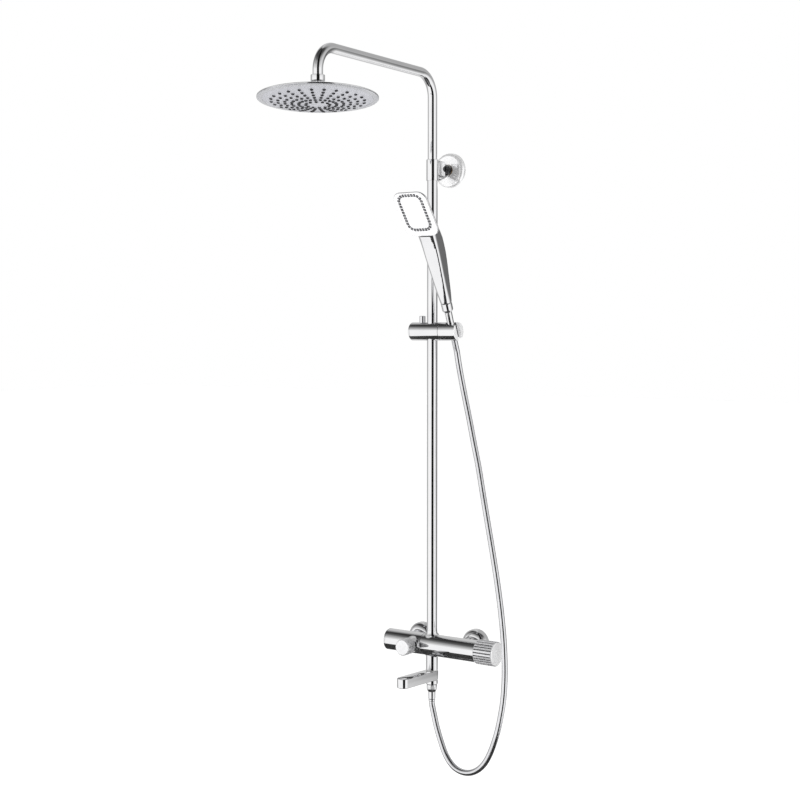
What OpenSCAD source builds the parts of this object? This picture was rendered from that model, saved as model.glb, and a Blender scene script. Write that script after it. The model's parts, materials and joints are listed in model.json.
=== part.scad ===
// Rainfall shower column: bar mixer with bath spout, telescopic riser, overhead shower,
// sliding holder and hand shower. The origin is on the finished wall, midway between the
// two inlets; +Z is up, +X is along the bar towards its handle and -Y is out of the wall.

/* [Wall and bar mixer] */
// Distance between the two inlets
inlet_pitch = 150; // [144:1:156]
// Distance from the wall to the axis of the bar and the riser
riser_out = 80; // [78:1:86]
// Diameter of the mixer bar
bar_d = 50; // [50:1:54]
// Length of the bar left of the riser
bar_left = 121; // [116:1:130]
// Length of the bar right of the riser, up to the handle
bar_right = 126; // [124:1:132]
// Diameter of the ribbed mixing handle
grip_d = 56; // [55:1:60]
// Length of the ribbed mixing handle
grip_l = 49; // [46:1:56]
// Ribs round the mixing handle
grip_ribs = 24; // [20:1:32]
// Diameter of the diverter knob
knob_d = 38; // [36:1:42]
// Distance of the diverter knob's axis left of the riser
knob_left = 40; // [38:1:42]
// Length of the bath spout from the riser's axis
spout_l = 117; // [95:1:130]
// Angle that the bath spout is turned to the left of straight out
spout_turn = 6; // [0:1:10]

/* [Risers and wall bracket] */
// Outer diameter of the lower riser
lower_riser_d = 24; // [24:1:24]
// Height of the wall bracket above the bar
bracket_z = 1104; // [1060:1:1160]
// Height of the horizontal arm above the bar
arm_z = 1314; // [1290:1:1380]
// Reach of the arm from the riser's axis to the overhead shower
arm_reach = 430; // [340:5:450]
// Radius of the arm's two bends on the tube's centre line
bend_r = 52; // [48:1:60]
// Diameter of the bracket's wall cover
cover_d = 80; // [74:1:90]

/* [Overhead shower] */
// Diameter of the overhead shower
head_d = 250; // [240:5:280]
// Depth of the curved underside
head_bulge = 12; // [8:1:14]
// Rows of nozzles round the overhead shower
head_rows = 24; // [16:2:24]
// Tilt of the overhead shower towards the user
head_tilt = 4.4; // [0:0.2:8]

/* [Holder and hand shower] */
// Height of the holder above the bar
holder_z = 729; // [600:1:760]
// Lean of the hand shower away from the wall
lean = 22.5; // [20:0.5:24]
// Width of the hand shower's spray plate
plate_w = 84; // [78:1:88]
// Height of the hand shower's spray plate
plate_h = 110; // [106:1:114]
// Nozzles in the ring of the hand shower
ring_nozzles = 36; // [28:4:40]

/* [Hose] */
// Outer diameter of the shower hose
hose_d = 13.8; // [13:0.1:14]

/* [Hidden] */
$fn = 64;
in_x = inlet_pitch / 2;
bar_r = bar_d / 2;
riser_r = lower_riser_d / 2;
riser_bore_r = riser_r - 0.8;
upper_r = 10.8;
upper_bore_r = 9.8;
split_x = -18.5;
cap_t = 4;
knob_face = 66;
boss_end = 36.5;
wall_bore_r = 19;
arm_tip_z = arm_z - bend_r - 19;
ball_z = arm_z - 90;
tilt_side = 34;
hole_x = 55;
holder_r = 21;
hose_r = hose_d / 2;
face_y = -43.7;
face_z = 293.5;
face_lean = 14.3;
plate_round = 20;
bulge_edge = head_d / 2 - 12;
bulge_r = (bulge_edge * bulge_edge + head_bulge * head_bulge) / (2 * head_bulge);
nozzle_rings = [for (i = [1 : 6]) 10.5 + 14.2 * i];
ring_w = 58;
ring_h = 88;
ring_round = 16;
ring_up = 5.75;

chrome = [0.82, 0.83, 0.85];
dark = [0.16, 0.16, 0.18];
brass = [0.78, 0.62, 0.32];
white = [0.95, 0.95, 0.96];
satin = [0.72, 0.72, 0.76];
rubber = [0.12, 0.12, 0.12];

// Centre line of the shower hose, from the ferrule under the bath spout to the hand shower
HOSE = concat([
    [0, -80, -132.3], [0, -80, -137.5], [2, -80, -147], [8, -82, -165], [17, -85, -190],
    [30, -88, -220], [47, -92, -250], [70, -96, -271], [96, -98, -279], [124, -100, -274],
    [149, -100, -256], [168, -99, -226], [185, -98, -180], [195, -96, -135],
    [201, -94, -90], [202, -91, -35], [197, -87, 30], [187, -82, 95], [174, -77, 160],
    [159, -72, 225], [143, -67, 290], [127, -62, 355], [112, -58, 420], [97, -54.5, 475],
    [83, -52, 530], [74, -51, 565], [66, -51.5, 600], [59.5, -53.5, 635], [56, -57.5, 665]
], [for (z = [-50, -36, -22, -10, 1.6]) hand_point(z)]);
function hand_point(z) = [hole_x, -riser_out - z * sin(lean), holder_z + z * cos(lean)];

// Frames of reference
module at_bar() { translate([0, -riser_out, 0]) children(); }
module along_x(x) { translate([x, 0, 0]) rotate([0, 90, 0]) children(); }
module outward(y) { translate([0, y, 0]) rotate([90, 0, 0]) children(); }
module at_inlets() {
    for (side = [-1, 1]) translate([side * in_x, 0, 0]) children();
}
module at_knob() { translate([-knob_left, -riser_out, 0]) rotate([90, 0, 0]) children(); }
module at_spout() { at_bar() rotate([0, 0, -spout_turn]) children(); }
module at_ball() {
    translate([0, -riser_out - arm_reach, ball_z])
        rotate([0, 0, tilt_side]) rotate([-head_tilt, 0, 0]) rotate([0, 0, -tilt_side])
            children();
}
module at_holder() { translate([0, -riser_out, holder_z]) children(); }
module at_hand() {
    translate([hole_x, -riser_out, holder_z]) rotate([lean, 0, 0]) children();
}
module at_face() {
    at_hand() translate([0, face_y, face_z]) rotate([face_lean, 0, 0]) children();
}

// Simple turned shapes
module tube(r_out, r_in, h) {
    difference() {
        cylinder(r = r_out, h = h);
        translate([0, 0, -1]) cylinder(r = r_in, h = h + 2);
    }
}
module seal(r_mid, r_wire) {
    rotate_extrude() translate([r_mid, 0]) circle(r = r_wire, $fn = 24);
}
module rounded_rect(w, h, r) {
    square([w - 2 * r, h], center = true);
    square([w, h - 2 * r], center = true);
    for (x = [-1, 1], y = [-1, 1])
        translate([x * (w / 2 - r), y * (h / 2 - r)]) circle(r = r);
}

// A round tube of any route: one ring of points at each route point
function unit(v) = v / norm(v);
function heading(p, i) = unit(p[min(i + 1, len(p) - 1)] - p[max(i - 1, 0)]);
function ring_at(p, i, r, n, slip = 0) =
    let (t = heading(p, i), a = unit(cross(t, [0, 1, 0])), b = cross(t, a))
    [for (k = [0 : n - 1]) p[i] + slip * t + r * (cos(360 * k / n) * a + sin(360 * k / n) * b)];
module skinned(points, steps, n) polyhedron(points, concat(
    [[for (k = [0 : n - 1]) k]],
    [[for (k = [n - 1 : -1 : 0]) steps * n + k]],
    [for (i = [0 : steps - 1], k = [0 : n - 1])
        [i * n + k, (i + 1) * n + k, (i + 1) * n + (k + 1) % n, i * n + (k + 1) % n]]
), convexity = 10);

// Bar mixer: castings
module mixer_body() color(chrome) difference() {
    union() {
        at_bar() along_x(split_x) cylinder(r = bar_r, h = bar_right - split_x);
        at_bar() rotate_extrude() polygon([
            [0, 20], [17, 20], [15.6, 25], [14.3, 28.5], [13.2, 32], [12.7, 36], [0, 36]
        ]);
        translate([in_x, 0, 0]) outward(-43.6) cylinder(r = 13.1, h = riser_out - 63.6);
    }
    at_bar() along_x(60) cylinder(r = wall_bore_r, h = bar_right);
    at_bar() along_x(split_x - 1) cylinder(r = 9, h = 90);
    at_bar() cylinder(r = 10, h = 30);
    at_bar() translate([0, 0, 16]) cylinder(r = riser_r + 0.05, h = 30);
    at_bar() translate([0, 0, 20]) cylinder(r = 13.4, h = 2.4);
    at_bar() translate([0, 0, -30]) cylinder(r = 8, h = 30);
    at_bar() translate([0, 0, -30]) cylinder(r = 10.45, h = 18);
    translate([in_x, 0, 0]) outward(0) cylinder(r = 7.5, h = riser_out - 8);
}
module diverter_body() color(chrome) difference() {
    union() {
        at_bar() along_x(-bar_left + cap_t) cylinder(r = bar_r, h = bar_left - cap_t + split_x - 2.5);
        at_bar() along_x(split_x - 3) cylinder(r = bar_r - 1.4, h = 2.95);
        at_knob() cylinder(r = 17, h = boss_end);
        translate([-in_x, 0, 0]) outward(-43.6) cylinder(r = 13.1, h = riser_out - 63.6);
    }
    at_bar() along_x(-bar_left) cylinder(r = 20, h = 20);
    at_bar() along_x(-bar_left) cylinder(r = 9, h = bar_left + 5);
    at_knob() translate([0, 0, -14]) cylinder(r = 13, h = 60);
    translate([-in_x, 0, 0]) outward(0) cylinder(r = 7.5, h = riser_out - 8);
}
module bar_end_cap() color(chrome) at_bar() along_x(-bar_left) rotate_extrude()
    difference() {
        union() {
            square([bar_r - 2.5, cap_t - 0.05]);
            translate([0, 2.5]) square([bar_r, cap_t - 2.55]);
            translate([bar_r - 2.5, 2.5]) circle(r = 2.5);
            square([19.9, 12]);
        }
        translate([-10, -5]) square([10, 30]);
        translate([0, 3]) square([16, 12]);
        translate([19.9, cap_t - 0.05]) square([10, 12]);
    }

// Wall connection, twice
module wall_unions() color(brass) at_inlets() difference() {
    union() {
        translate([0, 18, 0]) rotate([90, 0, 0]) cylinder(r = 10.45, h = 22);
        outward(-4) cylinder(r = 12, h = 34);
        outward(-38) cylinder(r = 12, h = 3.5);
        outward(-39.3) cylinder(r = 13, h = 2.2);
    }
    translate([0, 20, 0]) rotate([90, 0, 0]) cylinder(r = 7.5, h = 11);
    translate([0, 5, 0]) rotate([90, 0, 0]) cylinder(r = 7.5, h = 55);
    for (a = [0 : 60 : 300]) rotate([0, a, 0]) translate([4.8, 12, 0]) rotate([90, 0, 0])
        cylinder(r = 1.9, h = 12, $fn = 32);
}
module union_nuts() color(chrome) at_inlets() difference() {
    outward(-36) cylinder(r = 17.3, h = 15, $fn = 6);
    outward(-35) cylinder(r = 12.1, h = 20);
    outward(-39.15) cylinder(r = 13.2, h = 20);
}
module filter_washers() color(rubber) at_inlets() outward(-41.55) tube(12.8, 6, 2);
module check_valves() color(white) at_inlets() outward(-45) tube(7.4, 3, 10);
module wall_covers() color(chrome) at_inlets() outward(0) rotate_extrude() difference() {
    union() {
        square([33, 11]);
        square([19, 25]);
        translate([19, 11]) circle(r = 14);
    }
    union() {
        translate([0, -1]) square([31.5, 12]);
        translate([0, -1]) square([19, 24.5]);
        translate([19, 11]) circle(r = 12.5);
    }
    translate([-50, -5]) square([50 + 12.3, 50]);
}

// Mixing cartridge and its handle
module mixing_cartridge() color(white) at_bar() along_x(62) difference() {
    cylinder(r = wall_bore_r - 0.15, h = 50);
    translate([0, 0, 36]) cylinder(r = 5.06, h = 20);
    for (a = [60, 180, 300]) rotate([0, 0, a]) translate([11, 0, -1]) cylinder(r = 4, h = 9);
}
module cartridge_ring() color(brass) at_bar() along_x(112.1) difference() {
    cylinder(r = wall_bore_r - 0.1, h = 7);
    translate([0, 0, -1]) cylinder(r = 8, h = 10);
    for (a = [0, 90]) rotate([0, 0, a]) translate([-3, -25, 5]) cube([6, 50, 5]);
}
module mixing_grip() color(chrome) at_bar() along_x(bar_right + 0.8) difference() {
    union() {
        linear_extrude(grip_l - 1.8) difference() {
            circle(r = grip_d / 2);
            for (i = [0 : grip_ribs - 1]) rotate(i * 360 / grip_ribs)
                translate([grip_d / 2, 0]) rotate(45) square(2, center = true);
        }
        translate([0, 0, grip_l - 2]) cylinder(r1 = grip_d / 2 - 1.4, r2 = grip_d / 2 - 2.4, h = 1.2);
        translate([0, 0, -26]) cylinder(r = 5, h = 40);
    }
    difference() {
        translate([0, 0, -1]) cylinder(r = grip_d / 2 - 4.5, h = grip_l - 12);
        translate([0, 0, -30]) cylinder(r = 7.5, h = 90);
    }
}

// Diverter cartridge and its knob
module diverter_cartridge() color(white) at_knob() translate([0, 0, -12]) difference() {
    cylinder(r = 12.85, h = 42);
    translate([0, 0, 24]) cylinder(r = 4.06, h = 30);
    rotate([90, 0, 0]) translate([0, 6, -20]) cylinder(r = 3.5, h = 40);
}
module diverter_ring() color(brass) at_knob() translate([0, 0, 30.1]) tube(12.9, 6, 6);
module diverter_stem() color(brass) at_knob() translate([0, 0, 13]) cylinder(r = 4, h = 45);
module diverter_knob() color(white) at_knob() difference() {
    union() {
        translate([0, 0, boss_end + 1]) linear_extrude(knob_face - boss_end - 4) difference() {
            circle(r = knob_d / 2);
            for (i = [0 : 39]) rotate(i * 9)
                translate([knob_d / 2 + 0.45, 0]) circle(r = 1.1, $fn = 24);
        }
        translate([0, 0, knob_face - 3]) cylinder(r1 = knob_d / 2 - 0.4, r2 = knob_d / 2 - 2, h = 3);
    }
    translate([0, 0, boss_end]) cylinder(r = 14, h = 6);
    translate([0, 0, boss_end]) cylinder(r = 4.05, h = 58.2 - boss_end);
}

// Risers
module lower_riser() color(chrome) at_bar() translate([0, 0, 16.3])
    tube(riser_r, riser_bore_r, bracket_z - 5 - 16.3);
module bracket_sleeve() color(chrome) difference() {
    union() {
        at_bar() translate([0, 0, bracket_z - 30]) cylinder(r = 14, h = 48);
        translate([-9.5, -riser_out, bracket_z - 17]) cube([19, 40, 34]);
        translate([0, 0, bracket_z]) outward(-14.5) cylinder(r = 12, h = 34);
        hull() {
            at_bar() translate([0, 0, bracket_z - 30]) cylinder(r = 8.5, h = 14, $fn = 32);
            translate([0, 0, bracket_z - 17]) outward(-40) cylinder(r = 6, h = 6, $fn = 32);
        }
        hull() {
            translate([0, 0, bracket_z - 17]) outward(-40) cylinder(r = 6, h = 6, $fn = 32);
            translate([0, 0, bracket_z - 8]) outward(-14.5) cylinder(r = 5, h = 6, $fn = 32);
        }
    }
    at_bar() translate([0, 0, bracket_z - 40]) cylinder(r = riser_r + 0.05, h = 35.3);
    at_bar() translate([0, 0, bracket_z - 5]) cylinder(r = 12.9, h = 19);
    at_bar() translate([0, 0, bracket_z]) cylinder(r = 11.15, h = 30);
    translate([0, 0, bracket_z]) outward(-10) cylinder(r = 9, h = 30);
    translate([0, -25, bracket_z - 20]) cylinder(r = 2.45, h = 15);
}
module sleeve_guide_ring() color(white) at_bar() translate([0, 0, bracket_z - 4.6])
    tube(12.85, upper_r + 0.06, 18);
module bracket_base() color(brass) translate([0, 0, bracket_z]) difference() {
    union() {
        outward(0) cylinder(r = 26, h = 4);
        outward(-3) cylinder(r = 8.9, h = 34);
    }
    for (side = [-1, 1]) translate([side * 17, 1, 0]) outward(0) cylinder(r = 2.6, h = 8);
}
module bracket_cover() color(chrome) translate([0, 0, bracket_z]) outward(0) rotate_extrude()
    difference() {
        union() {
            square([cover_d / 2, 6]);
            square([cover_d / 2 - 8, 14]);
            translate([cover_d / 2 - 8, 6]) circle(r = 8);
        }
        union() {
            translate([0, -1]) square([cover_d / 2 - 1.5, 7]);
            translate([0, -1]) square([cover_d / 2 - 8, 13.5]);
            translate([cover_d / 2 - 8, 6]) circle(r = 6.5);
        }
        translate([-50, -20]) square([50 + 12.3, 50]);
        translate([0, -20]) square([cover_d, 20]);
    }
module bracket_set_screw() color(dark) translate([0, -25, bracket_z - 12.6])
    cylinder(r = 2.4, h = 3.6);

// Outlet neck, bath spout and hose outlet
module outlet_neck() color(chrome) at_bar() difference() {
    union() {
        translate([0, 0, -58]) cylinder(r = 14, h = 33);
        translate([0, 0, -26]) cylinder(r = 10.4, h = 13);
        translate([0, 0, -88]) cylinder(r = 10.5, h = 31);
    }
    translate([0, 0, -100]) cylinder(r = 7, h = 100);
    for (z = [-63.5, -76.5]) translate([0, 0, z - 0.7]) tube(11, 9.3, 1.4);
    translate([0, 14, -70]) rotate([90, 0, 0]) cylinder(r = 4, h = 28);
}
module hose_outlet() color(chrome) at_bar() difference() {
    union() {
        translate([0, 0, -92]) cylinder(r = 14, h = 10);
        translate([0, 0, -100.5]) cylinder(r = 10.3, h = 9);
    }
    translate([0, 0, -88.05]) cylinder(r = 10.55, h = 10);
    translate([0, 0, -110]) cylinder(r = 6, h = 30);
}
module mixer_seals() color(rubber) at_bar() {
    for (z = [-63.5, -76.5]) translate([0, 0, z]) seal(9.94, 0.6);
    translate([0, 0, 21.2]) seal(12.75, 0.65);
}
module spout_washers() color(white) at_bar()
    for (z = [-58.65, -81.95]) translate([0, 0, z]) tube(13.6, 10.6, 0.6);
module spout_body() color(chrome) at_spout() difference() {
    union() {
        translate([0, 0, -81.3]) cylinder(r = 14.6, h = 22.6);
        translate([0, 0, -81]) linear_extrude(21.8) {
            translate([-14.6, -spout_l + 13]) square([29.2, spout_l - 13]);
            translate([-1.6, -spout_l]) square([3.2, 20]);
            for (x = [-1.6, 1.6]) translate([x, -spout_l + 13]) circle(r = 13);
        }
    }
    translate([0, 0, -85]) cylinder(r = 10.58, h = 40);
    translate([0, 0, -70]) rotate([90, 0, 0]) cylinder(r = 5.5, h = spout_l - 12);
    translate([0, -spout_l + 16, -85]) cylinder(r = 10.5, h = 12);
}
module spout_aerator() color(white) at_spout() translate([0, -spout_l + 16, -80.2]) difference() {
    cylinder(r = 10.4, h = 7);
    for (a = [0 : 60 : 300]) rotate([0, 0, a]) translate([6, 0, -1]) cylinder(r = 1.6, h = 14);
    translate([0, 0, -1]) cylinder(r = 1.6, h = 14);
}
module lower_hose_washer() color(rubber) at_bar() translate([0, 0, -102.6]) tube(10.1, 6, 2);
module lower_hose_nut() color(chrome) at_bar() difference() {
    union() {
        translate([0, 0, -100]) cylinder(r = 12.1, h = 7.7);
        translate([0, 0, -109]) cylinder(r1 = 10.4, r2 = 12.1, h = 9);
    }
    translate([0, 0, -104.8]) cylinder(r = 10.4, h = 20);
    translate([0, 0, -120]) cylinder(r = 7.3, h = 30);
}
module lower_hose_ferrule() color(chrome) at_bar() difference() {
    union() {
        translate([0, 0, -132]) cylinder(r1 = 7.6, r2 = 8.4, h = 22.7);
        translate([0, 0, -110]) cylinder(r = 7.2, h = 6);
        translate([0, 0, -104.6]) cylinder(r = 9.8, h = 1.8);
    }
    translate([0, 0, -125]) cylinder(r = 5, h = 30);
}
// One run of the hose, from route point a to route point b, a little short at a shared end
module hose_run(a, b) color(satin) skinned([
    for (i = [a : b])
        each ring_at(HOSE, i, hose_r, 10, i == a && a > 0 ? 0.15 : i == b && b < len(HOSE) - 1 ? -0.15 : 0)
], b - a, 10);
module hose_lower_run() hose_run(0, 16);
module hose_middle_run() hose_run(16, 22);
module hose_upper_run() hose_run(22, 24);

// Telescopic upper riser
module telescope_plug() color(white) at_bar() translate([0, 0, 840]) difference() {
    union() {
        cylinder(r = riser_bore_r - 0.08, h = 19.6);
        translate([0, 0, 19]) cylinder(r = upper_bore_r - 0.06, h = 13);
    }
    translate([0, 0, -1]) cylinder(r = 6.5, h = 40);
    for (z = [4, 14]) translate([0, 0, z - 0.8]) tube(12, 9.5, 1.6);
}
module telescope_seals() color(rubber) at_bar()
    for (z = [844, 854]) translate([0, 0, z]) seal(10.33, 0.72);
module upper_riser() color(chrome) at_bar() {
    difference() {
        union() {
            translate([0, 0, 860]) cylinder(r = upper_r, h = arm_z - bend_r - 860);
            translate([0, -bend_r, arm_z - bend_r]) arm_bend(upper_r, 0);
            translate([0, -bend_r, arm_z]) outward(0) cylinder(r = upper_r, h = arm_reach - 2 * bend_r);
            translate([0, -arm_reach + bend_r, arm_z - bend_r]) arm_bend(upper_r, 90);
            translate([0, -arm_reach, arm_tip_z]) cylinder(r = upper_r, h = 19);
        }
        translate([0, 0, 859]) cylinder(r = upper_bore_r, h = arm_z - bend_r - 859);
        translate([0, -bend_r, arm_z - bend_r]) arm_bend(upper_bore_r, 0);
        translate([0, -bend_r, arm_z]) outward(0) cylinder(r = upper_bore_r, h = arm_reach - 2 * bend_r);
        translate([0, -arm_reach + bend_r, arm_z - bend_r]) arm_bend(upper_bore_r, 90);
        translate([0, -arm_reach, arm_tip_z - 1]) cylinder(r = upper_bore_r, h = 20);
    }
}
module arm_bend(r, turn) rotate([turn, 0, 0]) rotate([90, 0, 90])
    rotate_extrude(angle = 90) translate([bend_r, 0]) circle(r = r);

// Overhead shower on its ball
module ball_fitting() color(chrome) translate([0, -riser_out - arm_reach, ball_z]) difference() {
    union() {
        sphere(r = 9);
        translate([0, 0, 5]) cylinder(r = 5.5, h = 12);
        translate([0, 0, 14]) cylinder(r1 = 13.4, r2 = 14.8, h = 2);
        translate([0, 0, 16]) cylinder(r = 14.8, h = 12);
    }
    translate([0, 0, arm_tip_z - ball_z - 0.05]) cylinder(r = upper_r + 0.05, h = 20);
    translate([0, 0, 16]) cylinder(r = 7, h = 20);
    translate([0, 0, -20]) cylinder(r = 3.2, h = 50);
}
module ball_seat() color(white) translate([0, -riser_out - arm_reach, ball_z]) difference() {
    intersection() {
        sphere(r = 11.9);
        translate([0, 0, -4]) cylinder(r = 20, h = 10);
    }
    sphere(r = 9.06);
}
module swivel_nut() color(chrome) at_ball() difference() {
    union() {
        translate([0, 0, -12.35]) cylinder(r = 14.2, h = 12.35);
        sphere(r = 13.4);
    }
    sphere(r = 11.97);
    translate([0, 0, -16]) cylinder(r = 11, h = 14);
    cylinder(r = 9, h = 20);
}
module head_shell() color(chrome) at_ball() difference() {
    rotate_extrude() {
        polygon([
            [10.9, -12.4], [17, -12.4], [30, -13.2], [head_d / 2 - 2, -15.4], [head_d / 2 - 0.4, -16.4],
            [head_d / 2, -17.5], [head_d / 2, -18.9], [head_d / 2 - 1.4, -18.9], [head_d / 2 - 3, -16.9],
            [30, -14.9], [9, -14.6], [9, -8.6], [10.9, -8.6]
        ]);
    }
    translate([0, 0, -30]) cylinder(r = 9, h = 30);
}
module head_gasket() color(rubber) at_ball() translate([0, 0, -18.9])
    tube(head_d / 2 - 6, head_d / 2 - 9, 1.8);
function nozzle_count(i) = i == 0 ? head_rows / 2 : head_rows;
module plate_shape(inset) {
    intersection() {
        translate([0, bulge_r - head_bulge - 21]) circle(r = bulge_r - inset, $fn = 256);
        translate([0, -60]) square([bulge_edge - inset, 39]);
    }
}
module head_plate() color(satin) at_ball() difference() {
    rotate_extrude() {
        difference() {
            plate_shape(0);
            plate_shape(2);
        }
        translate([bulge_edge - 3, -21]) square([14, 2]);
        translate([head_d / 2 - 1, -20]) circle(r = 1);
        translate([head_d / 2 - 2, -21]) square([1, 2]);
    }
    for (i = [0 : 5], k = [0 : nozzle_count(i) - 1])
        rotate([0, 0, k * 360 / nozzle_count(i)]) translate([nozzle_rings[i], 0, -40])
            cylinder(r = 1.9, h = 22, $fn = 24);
}
module head_nozzles() color(rubber) at_ball() {
    for (i = [0 : 5], k = [0 : nozzle_count(i) - 1])
        rotate([0, 0, k * 360 / nozzle_count(i)]) translate([nozzle_rings[i], 0, nozzle_z(i) - 1.5])
            cylinder(r = 1.85, h = 4, $fn = 24);
}
function nozzle_z(i) = bulge_r - head_bulge - 21
    - sqrt(bulge_r * bulge_r - nozzle_rings[i] * nozzle_rings[i]);

// Sliding holder
module slider_bush() color(white) at_holder() translate([0, 0, -14]) tube(14.9, riser_r + 0.07, 28);
module slider_body() color(chrome) at_holder() difference() {
    along_x(-50) cylinder(r = holder_r, h = 76.5);
    translate([0, 0, -30]) cylinder(r = 12.6, h = 60);
    translate([0, 0, -14.3]) cylinder(r = 14.97, h = 28.6);
    along_x(-51) cylinder(r = 14.5, h = 31);
    translate([-21, -5.3, -6.3]) cube([8, 10.6, 12.6]);
    translate([-27, 0, 0]) cylinder(r = 7.1, h = 30);
    along_x(16) cylinder(r = 5.05, h = 20);
}
module slider_end_cap() color(chrome) at_holder() along_x(-54) rotate_extrude() difference() {
    union() {
        square([holder_r - 2.5, 3.95]);
        translate([0, 2.5]) square([holder_r, 1.45]);
        translate([holder_r - 2.5, 2.5]) circle(r = 2.5);
        square([14.4, 9]);
    }
    translate([-10, -5]) square([10, 30]);
    translate([0, 3.5]) square([12, 12]);
    translate([14.4, 3.95]) square([10, 9]);
}
module lock_button() color(chrome) at_holder() translate([-27, 0, 0]) difference() {
    union() {
        translate([0, 0, 4]) cylinder(r = 7, h = 30.5);
        translate([0, 0, 34.5]) cylinder(r1 = 7, r2 = 5.8, h = 1.2);
    }
    translate([0, 0, 3]) cylinder(r = 4.2, h = 8);
}
module button_spring() color(dark) at_holder() translate([-27, 0, 0])
    skinned([for (i = [0 : 60], k = [0 : 7]) coil_point(36 * i, 45 * k, -13.3 + i * 0.39)], 60, 8);
function coil_point(a, k, z) = [
    (3.2 + 0.5 * cos(k)) * cos(a), (3.2 + 0.5 * cos(k)) * sin(a), z + 0.5 * sin(k)
];
module lock_shoe() color(brass) at_holder() difference() {
    translate([-19.7, -5, -6]) cube([4.6, 10, 12]);
    cylinder(r = 15.05, h = 40, center = true);
}
module cradle_screw() color(dark) at_holder() {
    along_x(16.1) cylinder(r = 5, h = 21.6);
    along_x(37.5) cylinder(r = 7.4, h = 3.2);
}
module cradle_washer() color(white) at_holder() along_x(26.55) tube(18, 5.3, 0.6);
module cradle() color(chrome) difference() {
    at_holder() union() {
        along_x(27.2) cylinder(r = holder_r, h = 43.3);
        along_x(70.5) cylinder(r1 = holder_r, r2 = holder_r - 1.5, h = 1.5);
    }
    at_holder() along_x(26) cylinder(r = 5.06, h = 20);
    at_holder() along_x(37.3) cylinder(r = 7.7, h = 15);
    at_hand() translate([0, 0, -30]) cylinder(r = 12.2, h = 60);
    at_hand() translate([0, -7.8, -40]) cube([40, 15.6, 80]);
}
module cradle_liner() color(dark) at_hand() rotate([0, 0, 50]) rotate_extrude(angle = 260)
    polygon([[7.95, -16.5], [12.1, -16.5], [12.1, 16.5], [8.75, 16.5]]);

// Hose end and hand shower
module hose_top_run() hose_run(24, len(HOSE) - 1);
module hose_end_stem() color(brass) at_hand() difference() {
    union() {
        translate([0, 0, 1.7]) cylinder(r = 5.4, h = 53);
        translate([0, 0, 52.6]) cylinder(r = 9.8, h = 2);
    }
    translate([0, 0, 4]) cylinder(r = 3.6, h = 60);
}
module cone_nut() color(chrome) at_hand() rotate_extrude() polygon([
    [5.5, 2], [7.6, 2], [8.4, 48], [11.4, 51.5], [12.6, 54], [12.9, 69.8], [10.45, 69.8],
    [10.45, 52.4], [5.5, 52.4]
]);
module soft_rect(w, h, r) for (x = [-1, 1], y = [-1, 1])
    translate([x * (w / 2 - r), y * (h / 2 - r)]) circle(r = r, $fn = 32);
module hand_slice(s) translate([0, s[1], s[0]]) linear_extrude(0.6) soft_rect(s[2], s[3], s[4]);
module head_slice(y, t, w, h, r) translate([0, y + t, 0]) rotate([90, 0, 0]) linear_extrude(t)
    soft_rect(w, h, r);
// Height, offset, width, depth and corner radius of the handle's sections
HANDLE = [
    [70, 0, 25.8, 25.8, 12.88], [80, 0, 26.8, 26.4, 11.4], [96, 0, 28.4, 27.8, 9.8],
    [116, 0, 30.6, 29.6, 9], [136, 0, 33, 31.4, 8.6], [160, 0, 36.2, 34.2, 8.2],
    [186, -0.5, 39.2, 36.8, 8.2], [206, -1.6, 40.8, 38, 8.6], [222, -3.2, 42.2, 38.6, 9]
];
module hand_shell() color(chrome) {
    at_hand() difference() {
        union() {
            translate([0, 0, 56.8]) cylinder(r = 10.3, h = 18);
            for (i = [0 : len(HANDLE) - 2]) hull() {
                hand_slice(HANDLE[i]);
                hand_slice(HANDLE[i + 1]);
            }
        }
        translate([0, 0, 50]) cylinder(r = 7, h = 22);
    }
    hull() {
        at_hand() hand_slice(HANDLE[len(HANDLE) - 1]);
        at_face() translate([0, 0, -41]) head_slice(6, 12, 60, 28, 11);
    }
    hull() {
        at_face() head_slice(3.2, 3.6, plate_w + 3, plate_h + 3, plate_round + 1.5);
        at_face() translate([0, 0, -7]) head_slice(9, 2, plate_w - 8, plate_h - 22, plate_round - 2);
    }
    hull() {
        at_face() translate([0, 0, -7]) head_slice(8, 3, plate_w - 8, plate_h - 22, plate_round - 2);
        at_face() translate([0, 0, -18]) head_slice(15, 3, plate_w - 24, plate_h - 50, plate_round - 6);
    }
}
module hand_plate() color(white) at_face() difference() {
    rotate([90, 0, 0]) translate([0, 0, -3]) linear_extrude(3) rounded_rect(plate_w, plate_h, plate_round);
    at_ring() translate([0, 0, -5]) linear_extrude(10) square(6, center = true);
}
module at_ring() {
    straight_w = ring_w - 2 * ring_round;
    straight_h = ring_h - 2 * ring_round;
    around = 2 * (straight_w + straight_h) + 2 * PI * ring_round;
    for (i = [0 : ring_nozzles - 1]) {
        s = ring_spot(i * around / ring_nozzles, straight_w, straight_h);
        rotate([90, 0, 0]) translate([s[0], s[1] + ring_up, 0]) rotate([0, 0, s[2]]) children();
    }
}
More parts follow.
